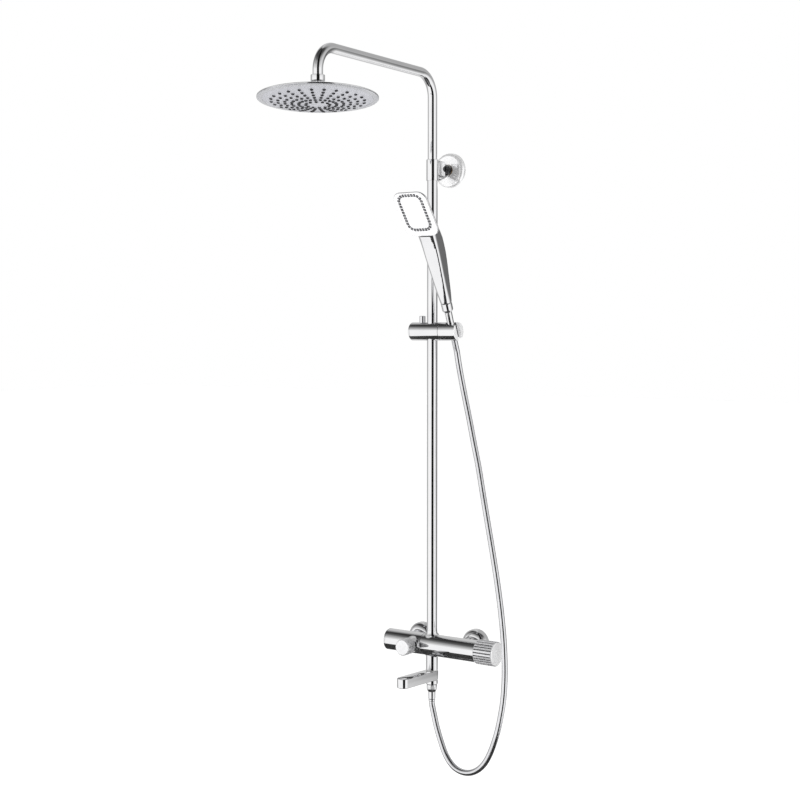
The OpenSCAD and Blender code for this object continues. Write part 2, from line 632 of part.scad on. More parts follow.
// Place and direction at a distance s along a rounded rectangle, from its top left corner
function ring_spot(s, w, h) = let (
    q = PI * ring_round / 2, t = w + q, u = t + h + q, v = u + w + q
) s < w ? [s - w / 2, h / 2 + ring_round, 0]
    : s < t ? corner(w / 2, h / 2, 90 - (s - w) / q * 90)
    : s < t + h ? [w / 2 + ring_round, h / 2 - (s - t), 0]
    : s < u ? corner(w / 2, -h / 2, 0 - (s - t - h) / q * 90)
    : s < u + w ? [w / 2 - (s - u), -h / 2 - ring_round, 0]
    : s < v ? corner(-w / 2, -h / 2, -90 - (s - u - w) / q * 90)
    : s < v + h ? [-w / 2 - ring_round, (s - v) - h / 2, 0]
    : corner(-w / 2, h / 2, 180 - (s - v - h) / q * 90);
function corner(x, y, a) = [x + ring_round * cos(a), y + ring_round * sin(a), a];
module hand_nozzles() color(dark) at_face() at_ring()
    translate([0, 0, -2.9]) linear_extrude(3.7) square(5.9, center = true);
module hand_waterway() color(satin) at_hand() translate([0, 0, 57]) tube(6.8, 5.2, 14);

mixer_body();
diverter_body();
bar_end_cap();
wall_unions();
union_nuts();
filter_washers();
check_valves();
wall_covers();
mixing_cartridge();
cartridge_ring();
diverter_cartridge();
diverter_ring();
lower_riser();
bracket_sleeve();
bracket_base();
bracket_cover();
bracket_set_screw();
sleeve_guide_ring();
outlet_neck();
hose_outlet();
mixer_seals();
spout_washers();
lower_hose_washer();
lower_hose_nut();
lower_hose_ferrule();
hose_lower_run();
telescope_plug();
telescope_seals();
upper_riser();
ball_fitting();
ball_seat();
swivel_nut();
head_shell();
head_gasket();
head_plate();
head_nozzles();
slider_bush();
slider_body();
slider_end_cap();
button_spring();
lock_shoe();
cradle_screw();
cradle_washer();
lock_button();
cradle();
cradle_liner();
hose_middle_run();
hose_upper_run();
hose_top_run();
hose_end_stem();
cone_nut();
hand_shell();
hand_waterway();
hand_plate();
hand_nozzles();
diverter_knob();
diverter_stem();
mixing_grip();
spout_body();
spout_aerator();
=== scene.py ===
"""Looks of the rainfall shower column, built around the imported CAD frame."""

import json
import math

import bpy
from mathutils import Matrix, Vector


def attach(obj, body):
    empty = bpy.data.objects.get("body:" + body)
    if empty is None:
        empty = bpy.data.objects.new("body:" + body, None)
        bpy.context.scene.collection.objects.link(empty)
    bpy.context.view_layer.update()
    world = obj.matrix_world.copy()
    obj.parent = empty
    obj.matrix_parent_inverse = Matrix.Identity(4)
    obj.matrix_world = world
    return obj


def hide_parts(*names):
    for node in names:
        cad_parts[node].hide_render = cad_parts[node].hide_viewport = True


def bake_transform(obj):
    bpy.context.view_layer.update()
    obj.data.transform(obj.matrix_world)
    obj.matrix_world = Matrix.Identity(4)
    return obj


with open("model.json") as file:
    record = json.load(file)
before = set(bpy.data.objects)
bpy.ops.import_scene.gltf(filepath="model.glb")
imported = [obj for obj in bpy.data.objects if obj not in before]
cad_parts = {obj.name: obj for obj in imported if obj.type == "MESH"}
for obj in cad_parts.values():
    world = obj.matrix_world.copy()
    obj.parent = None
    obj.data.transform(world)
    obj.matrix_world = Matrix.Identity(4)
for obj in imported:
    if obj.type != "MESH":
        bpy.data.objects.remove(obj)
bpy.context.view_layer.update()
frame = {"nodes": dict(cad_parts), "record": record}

MM = 0.001
NODES = frame["nodes"]

# Main sizes of the CAD frame, in millimetres
RISER_Y = -80
BAR_R = 25
HEAD_Y = -510
BALL_Z = 1224
HEAD_TILT = 4.4
TILT_SIDE = 34
HOLDER_Z = 729
BRACKET_Z = 1104
HAND_X = 55
LEAN = 22.5
FACE_Y = -43.7
FACE_Z = 293.5
FACE_LEAN = 14.3
KNOB_X = -40
SPOUT_TURN = 6
SPOUT_L = 117
TIP_R = 13
INLET_X = 75
HOSE_R = 6.9

# ---------------------------------------------------------------- camera
camera_data = bpy.data.cameras.new("camera")
camera_data.sensor_width = 36
camera_data.lens = 64.78
camera_data.clip_end = 60
camera = bpy.data.objects.new("camera", camera_data)
bpy.context.scene.collection.objects.link(camera)
camera.location = (1.8085, -2.8671, 0.7303)
camera.rotation_euler = (math.radians(87.25), 0, math.radians(34.26))
bpy.context.scene.camera = camera
bpy.context.scene.view_settings.view_transform = "Standard"


# ---------------------------------------------------------------- placing
def shift(x, y, z):
    return Matrix.Translation((x, y, z))


def turn(degrees, axis):
    return Matrix.Rotation(math.radians(degrees), 4, axis)


ALONG_X = turn(90, "Y")
OUTWARD = turn(90, "X")
TO_WALL = turn(-90, "X")
DOWN = turn(180, "X")
RISER = shift(0, RISER_Y, 0)
BAR = RISER @ ALONG_X
HEAD = (
    shift(0, HEAD_Y, BALL_Z)
    @ turn(TILT_SIDE, "Z")
    @ turn(-HEAD_TILT, "X")
    @ turn(-TILT_SIDE, "Z")
)
HOLDER = shift(0, RISER_Y, HOLDER_Z)
HAND = shift(HAND_X, RISER_Y, HOLDER_Z) @ turn(LEAN, "X")
FACE = HAND @ shift(0, FACE_Y, FACE_Z) @ turn(FACE_LEAN, "X")
KNOB = shift(KNOB_X, RISER_Y, 0) @ OUTWARD
SPOUT = RISER @ turn(-SPOUT_TURN, "Z")


# ---------------------------------------------------------------- materials
class Paint:
    """A node material with small helpers for procedural detail."""

    def __init__(self, name, color, metallic=0.0, roughness=0.3):
        self.material = bpy.data.materials.new(name)
        self.material.use_nodes = True
        self.tree = self.material.node_tree
        self.shader = self.tree.nodes["Principled BSDF"]
        self.shader.inputs["Base Color"].default_value = (*color, 1)
        self.shader.inputs["Metallic"].default_value = metallic
        self.shader.inputs["Roughness"].default_value = roughness
        self.height = None
        self.coords = self.node("ShaderNodeTexCoord").outputs["Object"]

    def node(self, kind, **settings):
        made = self.tree.nodes.new(kind)
        for key, value in settings.items():
            setattr(made, key, value)
        return made

    def noise(self, scale, detail=3.0, stretch=(1, 1, 1)):
        """A noise value; scale is in features per metre."""
        mapping = self.node("ShaderNodeMapping")
        mapping.inputs["Scale"].default_value = stretch
        self.tree.links.new(self.coords, mapping.inputs["Vector"])
        texture = self.node("ShaderNodeTexNoise")
        texture.inputs["Scale"].default_value = scale
        texture.inputs["Detail"].default_value = detail
        self.tree.links.new(mapping.outputs["Vector"], texture.inputs["Vector"])
        return texture.outputs["Fac"]

    def spread(self, value, low, high, from_low=0.3, from_high=0.7):
        ranged = self.node("ShaderNodeMapRange")
        ranged.inputs["From Min"].default_value = from_low
        ranged.inputs["From Max"].default_value = from_high
        ranged.inputs["To Min"].default_value = low
        ranged.inputs["To Max"].default_value = high
        self.tree.links.new(value, ranged.inputs["Value"])
        return ranged.outputs["Result"]

    def rough(self, value, low, high):
        self.tree.links.new(self.spread(value, low, high), self.shader.inputs["Roughness"])
        return self

    def tint(self, value, dark, light):
        ramp = self.node("ShaderNodeValToRGB")
        ramp.color_ramp.elements[0].position = 0.3
        ramp.color_ramp.elements[0].color = (*dark, 1)
        ramp.color_ramp.elements[1].position = 0.7
        ramp.color_ramp.elements[1].color = (*light, 1)
        self.tree.links.new(value, ramp.inputs["Fac"])
        self.tree.links.new(ramp.outputs["Color"], self.shader.inputs["Base Color"])
        return self

    def bump(self, value, strength, distance):
        made = self.node("ShaderNodeBump")
        made.inputs["Strength"].default_value = strength
        made.inputs["Distance"].default_value = distance
        self.tree.links.new(value, made.inputs["Height"])
        if self.height is not None:
            self.tree.links.new(self.height, made.inputs["Normal"])
        self.height = made.outputs["Normal"]
        self.tree.links.new(self.height, self.shader.inputs["Normal"])
        return self


def chrome(name, low=0.03, high=0.07, ripple=0.05):
    p = Paint(name, (0.9, 0.9, 0.91), 1.0, 0.05)
    p.tint(p.noise(16), (0.86, 0.86, 0.875), (0.92, 0.92, 0.925))
    p.rough(p.noise(55, 6), low, high)
    return p.bump(p.noise(260, 2), ripple, 0.00003)


def plastic(name, dark, light, low, high, grain=0.15, gloss=0.0):
    p = Paint(name, light, 0.0, low)
    p.tint(p.noise(30), dark, light)
    p.rough(p.noise(140, 5), low, high)
    p.shader.inputs["Coat Weight"].default_value = gloss
    p.shader.inputs["Coat Roughness"].default_value = 0.08
    return p.bump(p.noise(2200, 2), grain, 0.00004)


CHROME = chrome("polished_chrome")
CHROME_PLASTIC = chrome("chrome_on_plastic", 0.04, 0.085, 0.08)
HOSE = chrome("hose_metal", 0.1, 0.16, 0.1)
HOSE.tint(HOSE.noise(40), (0.76, 0.76, 0.78), (0.85, 0.85, 0.87))
SATIN_CHROME = chrome("satin_chrome", 0.2, 0.3, 0.1)
SATIN_CHROME.shader.inputs["Metallic"].default_value = 0.7
SATIN_CHROME.tint(SATIN_CHROME.noise(40), (0.7, 0.7, 0.715), (0.77, 0.77, 0.78))
# painted shade: a near-black copy of chrome laid in the grip grooves to stand in for the shade that falls
# there
GROOVE_SHADE = chrome("groove_painted_shade", 0.35, 0.5, 0.1)
GROOVE_SHADE.tint(GROOVE_SHADE.noise(60), (0.05, 0.05, 0.053), (0.1, 0.1, 0.104))
# painted light: a near-white, mostly diffuse copy of chrome so the grip end disc and the cradle end read
# light
PALE_LIT_CHROME = chrome("pale_chrome_painted_light", 0.2, 0.3, 0.06)
PALE_LIT_CHROME.shader.inputs["Metallic"].default_value = 0.3
PALE_LIT_CHROME.tint(PALE_LIT_CHROME.noise(30), (0.9, 0.9, 0.905), (0.94, 0.94, 0.945))
# painted light: a paler, half-diffuse copy of chrome so the bracket rosette reads bright all round
COVER_LIT_CHROME = chrome("cover_chrome_painted_light", 0.04, 0.08, 0.05)
COVER_LIT_CHROME.shader.inputs["Metallic"].default_value = 0.5
COVER_LIT_CHROME.tint(COVER_LIT_CHROME.noise(30), (0.88, 0.88, 0.885), (0.93, 0.93, 0.935))
# painted shade: a near-black copy of chrome on the bracket stub, standing in for the shade and dark
# reflection there
CHROME_PAINTED_SHADE = chrome("chrome_painted_shade", 0.05, 0.1, 0.05)
CHROME_PAINTED_SHADE.tint(CHROME_PAINTED_SHADE.noise(40), (0.04, 0.04, 0.043), (0.08, 0.08, 0.084))
BRASS = Paint("machined_brass", (0.72, 0.53, 0.25), 1.0, 0.3)
BRASS.tint(BRASS.noise(80), (0.63, 0.45, 0.2), (0.78, 0.6, 0.32))
BRASS.rough(BRASS.noise(300, 6, (1, 1, 6)), 0.2, 0.38).bump(BRASS.noise(900, 2, (1, 1, 5)), 0.2, 0.00005)
STEEL = Paint("dark_steel", (0.2, 0.2, 0.21), 1.0, 0.3)
STEEL.tint(STEEL.noise(90), (0.15, 0.15, 0.16), (0.26, 0.26, 0.27))
STEEL.rough(STEEL.noise(400, 4), 0.22, 0.4).bump(STEEL.noise(1200, 2), 0.2, 0.00004)
RUBBER = plastic("black_rubber", (0.018, 0.018, 0.02), (0.04, 0.04, 0.043), 0.45, 0.65, 0.4)
NOZZLE = plastic("nozzle_rubber", (0.012, 0.012, 0.014), (0.035, 0.035, 0.04), 0.35, 0.5, 0.3)
GREY_NOZZLE = plastic("grey_nozzle_rubber", (0.2, 0.2, 0.21), (0.28, 0.28, 0.3), 0.4, 0.55, 0.3)
DARK = plastic("dark_plastic", (0.03, 0.03, 0.033), (0.06, 0.06, 0.065), 0.35, 0.5)
ACETAL = plastic("white_acetal", (0.76, 0.76, 0.74), (0.86, 0.86, 0.84), 0.35, 0.5)
WHITE = plastic("gloss_white", (0.8, 0.8, 0.81), (0.86, 0.86, 0.87), 0.16, 0.26, 0.05, 0.6)
KNOB_WHITE = plastic("knob_white", (0.66, 0.66, 0.67), (0.72, 0.72, 0.725), 0.22, 0.32, 0.08, 0.4)
SATIN = Paint("satin_plate", (0.6, 0.6, 0.64), 0.35, 0.3)
SATIN.tint(SATIN.noise(22, 4), (0.57, 0.575, 0.615), (0.63, 0.635, 0.675))
SATIN.rough(SATIN.noise(380, 5), 0.26, 0.38).bump(SATIN.noise(1800, 2), 0.12, 0.00004)
SATIN_BAND = Paint("satin_band", (0.66, 0.66, 0.69), 0.6, 0.22)
SATIN_BAND.tint(SATIN_BAND.noise(22, 4), (0.62, 0.625, 0.655), (0.69, 0.695, 0.72))
SATIN_BAND.rough(SATIN_BAND.noise(380, 5), 0.18, 0.27).bump(SATIN_BAND.noise(1800, 2), 0.1, 0.00003)

FINISH = {
    "chrome": CHROME,
    "chrome_on_plastic": CHROME_PLASTIC,
    "brass": BRASS,
    "seal_rubber": RUBBER,
    "inner_plastic": ACETAL,
    "white_gloss": WHITE,
    "satin_plate": SATIN,
    "nozzle_rubber": NOZZLE,
    "dark_plastic": DARK,
    "screw_steel": STEEL,
    "hose_cover": HOSE,
}
for entry in frame["record"]["subparts"]:
    data = NODES[entry["node"]].data
    data.materials.clear()
    data.materials.append(FINISH[entry["material_slot"]].material)


# ---------------------------------------------------------------- shapes
def filleted(corners, steps=5):
    """(radius, height, fillet) corners to profile points, each fillet as a curve."""
    points = []
    for i, corner in enumerate(corners):
        here = Vector(corner[:2])
        fillet = corner[2] if len(corner) > 2 else 0
        if not fillet:
            points.append((here.x, here.y))
            continue
        before = Vector(corners[i - 1][:2]) - here
        after = Vector(corners[(i + 1) % len(corners)][:2]) - here
        half = before.angle(after) / 2
        back = min(fillet / math.tan(half), before.length * 0.49, after.length * 0.49)
        a = here + before.normalized() * back
        b = here + after.normalized() * back
        for k in range(steps + 1):
            t = k / steps
            p = a * (1 - t) ** 2 + here * 2 * t * (1 - t) + b * t * t
            points.append((p.x, p.y))
    return points


def rounded_outline(width, height, radius, steps=8):
    """A rounded rectangle as a closed outline about the origin."""
    points = []
    for cx, cy, start in ((1, 1, 0), (-1, 1, 90), (-1, -1, 180), (1, -1, 270)):
        for k in range(steps + 1):
            a = math.radians(start + 90 * k / steps)
            points.append(
                (
                    cx * (width / 2 - radius) + radius * math.cos(a),
                    cy * (height / 2 - radius) + radius * math.sin(a),
                )
            )
    return points


class Shape:
    """Collects closed shells in millimetres and makes one object of them."""

    def __init__(self):
        self.verts, self.faces, self.slots = [], [], []

    def add(self, verts, faces, slot=0):
        volume = 0.0
        for face in faces:
            a = verts[face[0]]
            for j in range(1, len(face) - 1):
                volume += a.dot(verts[face[j]].cross(verts[face[j + 1]]))
        base = len(self.verts)
        self.verts += verts
        for face in faces:
            face = face if volume > 0 else face[::-1]
            self.faces.append([base + k for k in face])
            self.slots.append(slot)
        return self

    def rings(self, rings, closed_path=False, slot=0):
        """Skins equal rings of points; the ends are capped unless the path closes."""
        n = len(rings[0])
        verts = [Vector(p) for ring in rings for p in ring]
        count = len(rings)
        faces = []
        for i in range(count if closed_path else count - 1):
            a, b = i * n, (i + 1) % count * n
            for k in range(n):
                faces.append([a + k, b + k, b + (k + 1) % n, a + (k + 1) % n])
        if not closed_path:
            faces.append(list(range(n)))
            faces.append([(count - 1) * n + k for k in range(n)][::-1])
        return self.add(verts, faces, slot)

    def lathe(self, place, profile, segments=96, tube=False, wave=None, slot=0):
        """Turns (radius, height) points round local Z. wave(angle, radius) reshapes a ring."""
        rings = []
        for r, z in profile:
            ring = []
            for k in range(segments):
                a = 2 * math.pi * k / segments
                radius = wave(a, r) if wave else max(r, 0.001)
                ring.append(place @ Vector((radius * math.cos(a), radius * math.sin(a), z)))
            rings.append(ring)
        return self.rings(rings, tube, slot)

    def saddle(self, place, r, f, bar_r=BAR_R, segments=96, steps=6):
        """The fillet where a branch of radius r leaves a bar that runs along local X."""

        def top(radius, a):
            return math.sqrt(max(bar_r**2 - (radius * math.sin(a)) ** 2, 0))

        rings = []
        curve = [(-1.2, None)] + [(0, k / steps) for k in range(steps + 1)] + [(1, None), (-1, None)]
        for kind, t in curve:
            ring = []
            for k in range(segments):
                a = 2 * math.pi * k / segments
                inner, outer = top(r, a), top(r + f, a)
                if kind == 0:
                    radius = r + f * t * t
                    z = (inner + f) * (1 - t) ** 2 + inner * 2 * t * (1 - t) + outer * t * t
                elif kind == -1.2:
                    radius, z = r - 1, inner + f
                elif kind == 1:
                    radius, z = r + f, outer - 1.5
                else:
                    radius, z = r - 1, inner - 1.5
                ring.append(place @ Vector((radius * math.cos(a), radius * math.sin(a), z)))
            rings.append(ring)
        return self.rings(rings, True)

    def slab(self, place, outline, layers, slot=0):
        """Layers of (inset, height) of one outline, scaled towards its middle."""
        wide = max(abs(x) for x, _ in outline)
        high = max(abs(y) for _, y in outline)
        rings = []
        for inset, z in layers:
            sx, sy = (wide - inset) / wide, (high - inset) / high
            rings.append([place @ Vector((x * sx, y * sy, z)) for x, y in outline])
        return self.rings(rings, slot=slot)

    def sweep(self, path, radius, sides=32, slot=0):
        """A round tube along a smooth path; radius may be a function of the length."""
        rings, walked = [], 0.0
        side = Vector((0, 0, 0))
        for i, p in enumerate(path):
            ahead = path[min(i + 1, len(path) - 1)] - path[max(i - 1, 0)]
            t = ahead.normalized()
            if i == 0:
                side = t.orthogonal().normalized()
                if abs(t.cross(Vector((1, 0, 0))).length) > 0.1:
                    side = t.cross(Vector((1, 0, 0))).normalized()
            else:
                walked += (p - path[i - 1]).length
            side = (side - t * side.dot(t)).normalized()
            other = t.cross(side)
            ring = []
            for k in range(sides):
                a = 2 * math.pi * k / sides
                r = radius(walked, a) if callable(radius) else radius
                ring.append(p + side * (r * math.cos(a)) + other * (r * math.sin(a)))
            rings.append(ring)
        return self.rings(rings, slot=slot)

    def make(self, name, paints, body, slot, replaced=(), sharp=32):
        mesh = bpy.data.meshes.new(name)
        mesh.from_pydata([v * MM for v in self.verts], [], self.faces)
        paints = paints if isinstance(paints, (list, tuple)) else [paints]
        for paint in paints:
            mesh.materials.append(paint.material)
        for polygon, number in zip(mesh.polygons, self.slots):
            polygon.material_index = number
            polygon.use_smooth = True
        mesh.set_sharp_from_angle(angle=math.radians(sharp))
        mesh.update()
        made = bpy.data.objects.new(name, mesh)
        bpy.context.scene.collection.objects.link(made)
        if body:
            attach(made, body)
        if replaced:
            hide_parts(*replaced)
        return made


def smooth_path(points, step):
    """A Catmull-Rom curve through the points, cut into steps of about the given length."""
    points = [Vector(p) for p in points]
    padded = [points[0] * 2 - points[1]] + points + [points[-1] * 2 - points[-2]]
    fine = []
    for i in range(1, len(padded) - 2):
        a, b, c, d = padded[i - 1 : i + 3]
        for k in range(24):
            t = k / 24
            fine.append(
                0.5
                * (
                    b * 2
                    + (c - a) * t
                    + (a * 2 - b * 5 + c * 4 - d) * t * t
                    + (b * 3 - a - c * 3 + d) * t**3
                )
            )
    fine.append(points[-1])
    lengths = [0.0]
    for a, b in zip(fine, fine[1:]):
        lengths.append(lengths[-1] + (b - a).length)
    count = max(2, round(lengths[-1] / step))
    result, j = [], 0
    for k in range(count + 1):
        want = lengths[-1] * k / count
        while j < len(fine) - 2 and lengths[j + 1] < want:
            j += 1
        span = lengths[j + 1] - lengths[j]
        share = (want - lengths[j]) / span if span else 0
        result.append(fine[j].lerp(fine[j + 1], min(share, 1)))
    return result, lengths[-1]


# ---------------------------------------------------------------- hose, in four runs
def hand_point(z):
    return HAND @ Vector((0, 0, z))


HOSE_LOW = [
    (0, -80, -132.3), (0, -80, -137.5), (2, -80, -147), (8, -82, -165), (17, -85, -190),
    (30, -88, -220), (47, -92, -250), (70, -96, -271), (96, -98, -279), (124, -100, -274),
    (149, -100, -256), (168, -99, -226), (185, -98, -180), (195, -96, -135), (201, -94, -90),
    (202, -91, -35), (197, -87, 30),
]
HOSE_MID = [
    (197, -87, 30), (187, -82, 95), (174, -77, 160), (159, -72, 225), (143, -67, 290),
    (127, -62, 355), (112, -58, 420),
]
HOSE_UP = [(112, -58, 420), (97, -54.5, 475), (83, -52, 530)]
HOSE_TOP = [
    (83, -52, 530), (74, -51, 565), (66, -51.5, 600), (59.5, -53.5, 635), (56, -57.5, 665),
] + [tuple(hand_point(z)) for z in (-50, -36, -22, -10, 1.6)]
HOSE_RUNS = [
    ("hose_lower", HOSE_LOW, "column", "slide_bush", (0, -90, -100), (197, -90, -100)),
    ("hose_middle", HOSE_MID, "slide_bush", "holder", (197, -87, 30), (112, -58, 420)),
    ("hose_upper", HOSE_UP, "holder", "hand_cradle", (112, -58, 420), (83, -52, 530)),
    ("hose_top", HOSE_TOP, "hand_cradle", "hose_end", (83, -52, 530), (55, -80.6, 730.5)),
]
whole = HOSE_LOW + HOSE_MID[1:] + HOSE_UP[1:] + HOSE_TOP[1:]
full_path = smooth_path(whole, 0.8)[0]


def nearest(path, point):
    target = Vector(point)
    return min(range(len(path)), key=lambda i: (path[i] - target).length_squared)


COIL_PITCH = 3.2
walked_at = [0.0]
for first, second in zip(full_path, full_path[1:]):
    walked_at.append(walked_at[-1] + (second - first).length)
for name, points, body_a, body_b, start, end in HOSE_RUNS:
    i, j = nearest(full_path, points[0]), nearest(full_path, points[-1])
    path = full_path[i : j + 1]
    offset = walked_at[i]

    def coil(walked, angle, offset=offset):
        phase = 2 * math.pi * (offset + walked) / COIL_PITCH - angle
        return HOSE_R - 0.3 + 0.3 * min(1.0, 1.25 * math.sqrt(abs(math.sin(phase / 2))))

    shape = Shape().sweep(path, coil, 28)
    run = shape.make(name, HOSE, None, "hose_cover", (name + "_run",), sharp=60)
    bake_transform(run)


# ---------------------------------------------------------------- stage
def soft_light(name, place, target, size, power):
    lamp = bpy.data.lights.new(name, "AREA")
    lamp.energy = power
    lamp.size = size
    made = bpy.data.objects.new(name, lamp)
    bpy.context.scene.collection.objects.link(made)
    made.location = place
    made.rotation_euler = (Vector(target) - Vector(place)).to_track_quat("-Z", "Y").to_euler()
    made.visible_glossy = False
    return made


soft_light("key_light", (-1.6, -3.0, 2.6), (0, -0.2, 0.5), 1.8, 60)
soft_light("fill_light", (2.6, -2.2, 0.4), (0, -0.2, 0.5), 2.0, 25)

FLOOR_HALF, FLOOR_Z = 30, -0.95
floor_corners = [(x * FLOOR_HALF, y * FLOOR_HALF, FLOOR_Z) for x, y in ((-1, -1), (1, -1), (1, 1), (-1, 1))]
floor_mesh = bpy.data.meshes.new("floor")
floor_mesh.from_pydata(floor_corners, [], [(0, 1, 2, 3)])
floor = bpy.data.objects.new("floor", floor_mesh)
bpy.context.scene.collection.objects.link(floor)
pale = Paint("pale_floor", (0.96, 0.96, 0.96), 0.0, 0.7)
pale.tint(pale.noise(0.8), (0.95, 0.95, 0.95), (0.97, 0.97, 0.97))
pale.shader.inputs["Emission Color"].default_value = (1, 1, 1, 1)
pale.shader.inputs["Emission Strength"].default_value = 0.25
floor_mesh.materials.append(pale.material)
floor.visible_glossy = False

dark_floor = bpy.data.meshes.new("dark_floor")
DISC_R, DISC_Y, DISC_Z, DISC_SIDES = 2.05, -0.1, -1.37, 64
steps = [2 * math.pi * k / DISC_SIDES for k in range(DISC_SIDES)]
rim = [(DISC_R * math.cos(a), DISC_R * math.sin(a) + DISC_Y, DISC_Z) for a in steps]
dark_floor.from_pydata(rim, [], [list(range(DISC_SIDES))])
reflected_floor = bpy.data.objects.new("reflected_floor", dark_floor)
bpy.context.scene.collection.objects.link(reflected_floor)
dusk = Paint("dark_floor", (0.03, 0.03, 0.03), 0.0, 0.8)
dusk.tint(dusk.noise(2), (0.02, 0.02, 0.02), (0.05, 0.05, 0.05))
dark_floor.materials.append(dusk.material)
reflected_floor.visible_camera = False
reflected_floor.visible_diffuse = False
reflected_floor.visible_shadow = False

world = bpy.data.worlds.new("studio")
bpy.context.scene.world = world
world.use_nodes = True
sky = world.node_tree
sky.nodes.clear()


def sky_node(kind, **settings):
    made = sky.nodes.new(kind)
    for key, value in settings.items():
        setattr(made, key, value)
    return made


def sky_math(operation, a, b=None):
    made = sky_node("ShaderNodeMath", operation=operation)
    for socket, value in zip(made.inputs, (a, b)):
        if value is None:
            continue
        if isinstance(value, (int, float)):
            socket.default_value = value
        else:
            sky.links.new(value, socket)
    return made.outputs["Value"]


def sky_step(value, edge0, edge1, low, high):
    made = sky_node("ShaderNodeMapRange", interpolation_type="SMOOTHSTEP")
    made.inputs["From Min"].default_value = edge0
    made.inputs["From Max"].default_value = edge1
    made.inputs["To Min"].default_value = low
    made.inputs["To Max"].default_value = high
    sky.links.new(value, made.inputs["Value"])
    return made.outputs["Result"]


direction = sky_node("ShaderNodeTexCoord").outputs["Generated"]
parts = sky_node("ShaderNodeSeparateXYZ")
sky.links.new(direction, parts.inputs["Vector"])
DEG = 180 / math.pi
elevation = sky_math("MULTIPLY", sky_math("ARCSINE", parts.outputs["Z"]), DEG)
MAIN_SIDE = 34.0
turned = sky_math(
    "MULTIPLY",
    sky_math("ARCTAN2", parts.outputs["X"], sky_math("MULTIPLY", parts.outputs["Y"], -1.0)),
    DEG,
)
# bearing is 0 in the main direction and grows to the right of it, from -180 to 180
bearing = sky_math(
    "SUBTRACT",
    sky_math("FLOORED_MODULO", sky_math("ADD", turned, 180.0 - MAIN_SIDE), 360.0),
    180.0,
)


def sky_ramp(stops):
    """Brightness by elevation, from (degrees, value) stops."""
    made = sky_node("ShaderNodeValToRGB")
    band = made.color_ramp
    band.interpolation = "EASE"
    while len(band.elements) < len(stops):
        band.elements.new(0.5)
    for element, (degrees, value) in zip(band.elements, stops):
        element.position = (degrees + 90) / 180
        element.color = (value, value, value, 1)
    share = sky_math("DIVIDE", sky_math("ADD", elevation, 90.0), 180.0)
    sky.links.new(share, made.inputs["Fac"])
    return made.outputs["Color"]


def sky_mix(share, a, b):
    made = sky_node("ShaderNodeMix", data_type="FLOAT")
    for socket, value in zip((made.inputs[0], made.inputs[2], made.inputs[3]), (share, a, b)):
        if isinstance(value, (int, float)):
            socket.default_value = value
        else:
            sky.links.new(value, socket)
    return made.outputs[0]


# a bright front that darkens upwards, a dim wall behind on the right, grey behind on the left
in_front = sky_math(
    "MULTIPLY",
    sky_ramp([(-90, 1), (9, 1), (21, 0.66), (33, 0.38), (48, 0.1), (56, 0.05), (90, 0.05)]),
    sky_step(bearing, -120, -86, 0.4, 1.0),
)
at_right = sky_ramp([(-90, 0.9), (-33, 0.9), (-18, 0.4), (-9, 0.16), (3, 0.12), (11, 0.42), (90, 0.42)])
shade = sky_mix(sky_step(bearing, 72, 120, 0.0, 1.0), in_front, at_right)
rear = sky_math(
    "MAXIMUM", sky_step(bearing, -175, -118, 1.0, 0.0), sky_step(bearing, 158, 178, 0.0, 1.0)
)
shade = sky_mix(rear, shade, 0.6)
# a dark upright panel beside the camera
panel = sky_math(
    "MAXIMUM", sky_step(bearing, -19, -12, 1.0, 0.0), sky_step(bearing, 28, 38, 0.0, 1.0)
)
shade = sky_math("ADD", sky_math("MULTIPLY", sky_math("MULTIPLY", shade, panel), 1.0), 0.008)

reflected = sky_node("ShaderNodeBackground")
sky.links.new(shade, reflected.inputs["Color"])
plain = sky_node("ShaderNodeBackground")
plain.inputs["Color"].default_value = (1, 1, 1, 1)
plain.inputs["Strength"].default_value = 0.86
seen = sky_node("ShaderNodeBackground")
seen.inputs["Color"].default_value = (1, 1, 1, 1)
ray = sky_node("ShaderNodeLightPath")
first_mix = sky_node("ShaderNodeMixShader")
sky.links.new(ray.outputs["Is Glossy Ray"], first_mix.inputs[0])
sky.links.new(plain.outputs["Background"], first_mix.inputs[1])
sky.links.new(reflected.outputs["Background"], first_mix.inputs[2])
second_mix = sky_node("ShaderNodeMixShader")
sky.links.new(ray.outputs["Is Camera Ray"], second_mix.inputs[0])
sky.links.new(first_mix.outputs["Shader"], second_mix.inputs[1])
sky.links.new(seen.outputs["Background"], second_mix.inputs[2])
sky_out = sky_node("ShaderNodeOutputWorld")
sky.links.new(second_mix.outputs["Shader"], sky_out.inputs["Surface"])

# ---------------------------------------------------------------- bar mixer
right = Shape()
right.lathe(
    BAR, filleted([(19, 126), (25, 126, 0.8), (25, -18.5, 0.6), (23.4, -18.5), (19, -18.5)]), 160, True,
)
flare = [(12.2 + 4.2 * (1 - k / 14) ** 2.2, 21 + 15 * k / 14) for k in range(15)]
right.lathe(RISER, [(12.05, 20), (16.6, 20)] + flare + [(12.05, 36.1)], 96, True)
right.saddle(RISER, 15.6, 3.4)
right.lathe(
    shift(INLET_X, 0, 0) @ OUTWARD, filleted([(7.5, 43.6), (13.1, 43.6, 0.6), (13.1, 60), (7.5, 60)]), 72,
    True,
)
right.saddle(shift(INLET_X, RISER_Y, 0) @ TO_WALL, 13.1, 2.5)
right.make("mixer_casting", CHROME, "column", "chrome", ("mixer_body",))

